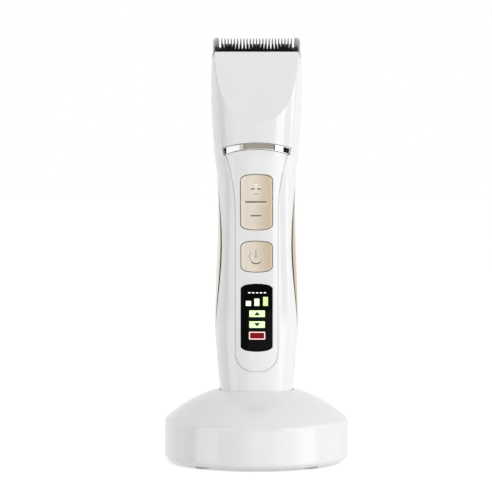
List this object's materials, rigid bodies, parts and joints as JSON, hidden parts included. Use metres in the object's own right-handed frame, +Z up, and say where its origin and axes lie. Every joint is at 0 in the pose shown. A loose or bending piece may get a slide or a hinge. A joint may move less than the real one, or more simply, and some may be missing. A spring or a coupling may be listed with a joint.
{
  "type": "electric pet clipper",
  "caption": "Cordless pet clipper with a detachable reciprocating blade set, speed rocker, power button and display, standing in a round charging dock.",
  "frame": {"origin": "centre of the dock's footprint, on the surface it stands on", "axes": "+Z up along the clipper, -Y the side with the buttons and display, +X to the right of someone facing it"},
  "size_m": [0.091, 0.091, 0.2091],
  "materials": {
    "white_casing": "gloss white moulded ABS",
    "pale_base": "fine texture",
    "champagne": "satin champagne coating",
    "chrome": "mirror polished plating on plastic",
    "black_lens": "gloss black acrylic",
    "lit_marks": "lit film",
    "dark_plastic": "moulded nylon",
    "circuit_board": "solder mask on glass epoxy",
    "zinc_steel": "zinc plated",
    "magnet_ferrite": "sintered",
    "rotor_copper": "enamelled winding on laminations",
    "bronze": "sintered",
    "gold_contact": "gold plated",
    "grey_nylon": "moulded nylon",
    "cell_sleeve": "shrink sleeve over the cell",
    "lead_insulation": "silicone insulation",
    "blade_steel": "ground stainless",
    "black_ceramic": "ground black ceramic",
    "driver_nylon": "moulded nylon",
    "rubber": "moulded silicone"
  },
  "bodies": {
    "dock": {"dock_shell": "white_casing", "dock_base": "pale_base", "dock_feet": "rubber", "dock_screws": "zinc_steel", "ballast_ring": "zinc_steel", "dock_board": "circuit_board", "contact_block": "dark_plastic", "contact_spring_left": "blade_steel", "contact_spring_right": "blade_steel", "power_inlet": "dark_plastic", "dock_leads": "lead_insulation"},
    "clipper": {"rear_housing": "white_casing", "front_panel": "white_casing", "head_cover": "white_casing", "chrome_band": "chrome", "side_trim_left": "champagne", "side_trim_right": "champagne", "rocker_pin": "zinc_steel", "display_window": "black_lens", "display_marks": "lit_marks", "display_module": "dark_plastic", "main_board": "circuit_board", "push_switches": "dark_plastic", "board_parts": "dark_plastic", "motor_can": "zinc_steel", "motor_magnets": "magnet_ferrite", "motor_bushes": "bronze", "motor_end_cap": "dark_plastic", "motor_plate": "grey_nylon", "motor_screws": "zinc_steel", "battery_cell": "cell_sleeve", "battery_tabs": "zinc_steel", "battery_cradle": "grey_nylon", "battery_leads": "lead_insulation", "motor_leads": "lead_insulation", "tail_insert": "dark_plastic", "charge_contacts": "gold_contact", "housing_screws": "zinc_steel"},
    "rocker": {"speed_rocker": "champagne"},
    "power_key": {"power_button": "champagne"},
    "motor_drive": {"motor_rotor": "rotor_copper", "motor_shaft": "zinc_steel", "eccentric": "zinc_steel"},
    "blade_set": {"blade_carrier": "white_casing", "fixed_comb": "blade_steel", "blade_screws": "zinc_steel", "blade_spring": "blade_steel"},
    "cutter": {"moving_blade": "black_ceramic", "blade_driver": "driver_nylon"},
    "contact_left": {"contact_pin_left": "gold_contact"},
    "contact_right": {"contact_pin_right": "gold_contact"}
  },
  "joints": [
    {"name": "clipper_lift", "type": "slide", "parent": "dock", "child": "clipper", "axis": [0, 0, 1], "range_m": [0, 0.06]},
    {"name": "speed_tilt", "type": "hinge", "parent": "clipper", "child": "rocker", "pos_m": [0, -0.0138, 0.1287], "axis": [1, 0, 0], "range_deg": [-2.5, 2.5], "stiffness_Nm_per_rad": 0.4},
    {"name": "power_press", "type": "slide", "parent": "clipper", "child": "power_key", "axis": [0, 1, 0], "range_m": [0, 0.0005], "stiffness_N_per_m": 1200, "springref_m": -0.0002},
    {"name": "spindle_turn", "type": "hinge", "parent": "clipper", "child": "motor_drive", "pos_m": [0, -0.0005, 0.172], "axis": [0, 0, 1], "range_deg": [-90, 90]},
    {"name": "blade_tilt_off", "type": "hinge", "parent": "clipper", "child": "blade_set", "pos_m": [0, 0.01541, 0.17827], "axis": [-1, 0, 0], "range_deg": [0, 45]},
    {"name": "cutter_stroke", "type": "slide", "parent": "blade_set", "child": "cutter", "axis": [1, 0, 0], "range_m": [-0.0011, 0.0011]},
    {"name": "contact_press_left", "type": "slide", "parent": "dock", "child": "contact_left", "axis": [0, 0, 1], "range_m": [-0.0008, 0], "stiffness_N_per_m": 300, "springref_m": 0.0005, "deforming": ["contact_spring_left"]},
    {"name": "contact_press_right", "type": "slide", "parent": "dock", "child": "contact_right", "axis": [0, 0, 1], "range_m": [-0.0008, 0], "stiffness_N_per_m": 300, "springref_m": 0.0005, "deforming": ["contact_spring_right"]}
  ],
  "couplings": [
    {"joint": "cutter_stroke", "follows": "spindle_turn", "m_per_rad": 0.0007}
  ]
}
